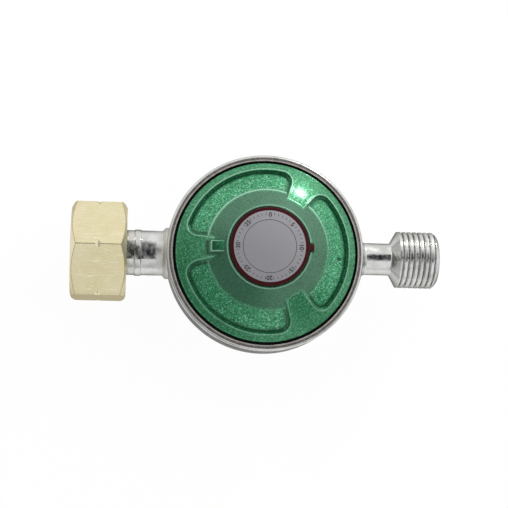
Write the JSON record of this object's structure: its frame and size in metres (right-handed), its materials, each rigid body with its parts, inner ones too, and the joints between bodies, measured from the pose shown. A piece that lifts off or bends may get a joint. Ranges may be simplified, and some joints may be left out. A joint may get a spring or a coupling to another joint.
{
  "type": "gas pressure regulator",
  "caption": "Low-pressure gas regulator: round zinc casing with a hexagonal brass inlet union, a threaded outlet stub and a green domed cover with a capped spring turret.",
  "frame": {"origin": "centre of the inlet gasket's sealing face, on the pipes' axis, at the inner end of the union nut's thread", "axes": "+X along the pipes from the inlet to the outlet, +Z out through the cover and its turret, +Y to the left when looking along +X with the cover up"},
  "size_m": [0.1034, 0.0552, 0.0341],
  "materials": {
    "zinc": "die-cast zinc, tumbled satin",
    "green_enamel": "zinc casting under green metallic enamel",
    "crimson_plastic": "moulded, satin",
    "label_film": "silver-grey film",
    "brass": "machined, bright",
    "steel": "zinc plated",
    "rubber": "nitrile rubber",
    "grey_plastic": "moulded acetal"
  },
  "bodies": {
    "regulator_body": {"casing": "zinc", "cover": "green_enamel", "inlet_nozzle": "brass", "inlet_filter": "steel", "inlet_nipple": "brass", "nipple_seal": "rubber", "inlet_gasket": "rubber", "lever_bracket": "steel", "bracket_screws": "steel", "lever_pin": "steel", "diaphragm": "rubber", "main_spring": "steel"},
    "slip_ring": {"slip_ring": "grey_plastic"},
    "union_nut": {"union_nut": "brass"},
    "diaphragm_group": {"diaphragm_plate": "steel", "diaphragm_washer": "steel", "stem": "brass", "stem_nut": "brass"},
    "lever": {"lever": "steel"},
    "valve": {"valve_plunger": "brass", "valve_pad": "rubber"},
    "upper_seat": {"upper_spring_seat": "steel"},
    "adjusting_screw": {"adjusting_screw": "brass"},
    "cap": {"cap": "crimson_plastic", "label": "label_film"}
  },
  "joints": [
    {"name": "nut_slide", "type": "slide", "parent": "regulator_body", "child": "slip_ring", "axis": [1, 0, 0], "range_m": [0, 0.0087]},
    {"name": "nut_spin", "type": "hinge", "parent": "slip_ring", "child": "union_nut", "pos_m": [0, 0, 0], "axis": [1, 0, 0], "continuous": true},
    {"name": "diaphragm_lift", "type": "slide", "parent": "regulator_body", "child": "diaphragm_group", "axis": [0, 0, 1], "range_m": [0, 0.0016], "stiffness_N_per_m": 600, "springref_m": -0.0053, "deforming": ["main_spring", "diaphragm"]},
    {"name": "lever_tilt", "type": "hinge", "parent": "regulator_body", "child": "lever", "pos_m": [0.0359, 0, -0.0036], "axis": [0, -1, 0], "range_deg": [0, 10]},
    {"name": "valve_travel", "type": "slide", "parent": "regulator_body", "child": "valve", "axis": [-1, 0, 0], "range_m": [0, 0.0006528]},
    {"name": "screw_turn", "type": "hinge", "parent": "upper_seat", "child": "adjusting_screw", "pos_m": [0.0453, 0, 0.0127], "axis": [0, 0, -1], "range_deg": [-180, 360]},
    {"name": "screw_advance", "type": "slide", "parent": "regulator_body", "child": "upper_seat", "axis": [0, 0, -1], "range_m": [-0.00055, 0.00105], "deforming": ["main_spring"]},
    {"name": "cap_pull", "type": "slide", "parent": "regulator_body", "child": "cap", "axis": [0, 0, 1], "range_m": [0, 0.012]}
  ],
  "couplings": [
    {"joint": "lever_tilt", "follows": "diaphragm_lift", "rad_per_m": 106.38},
    {"joint": "valve_travel", "follows": "diaphragm_lift", "ratio": 0.38298},
    {"joint": "screw_advance", "follows": "screw_turn", "m_per_rad": 0.00015915}
  ]
}
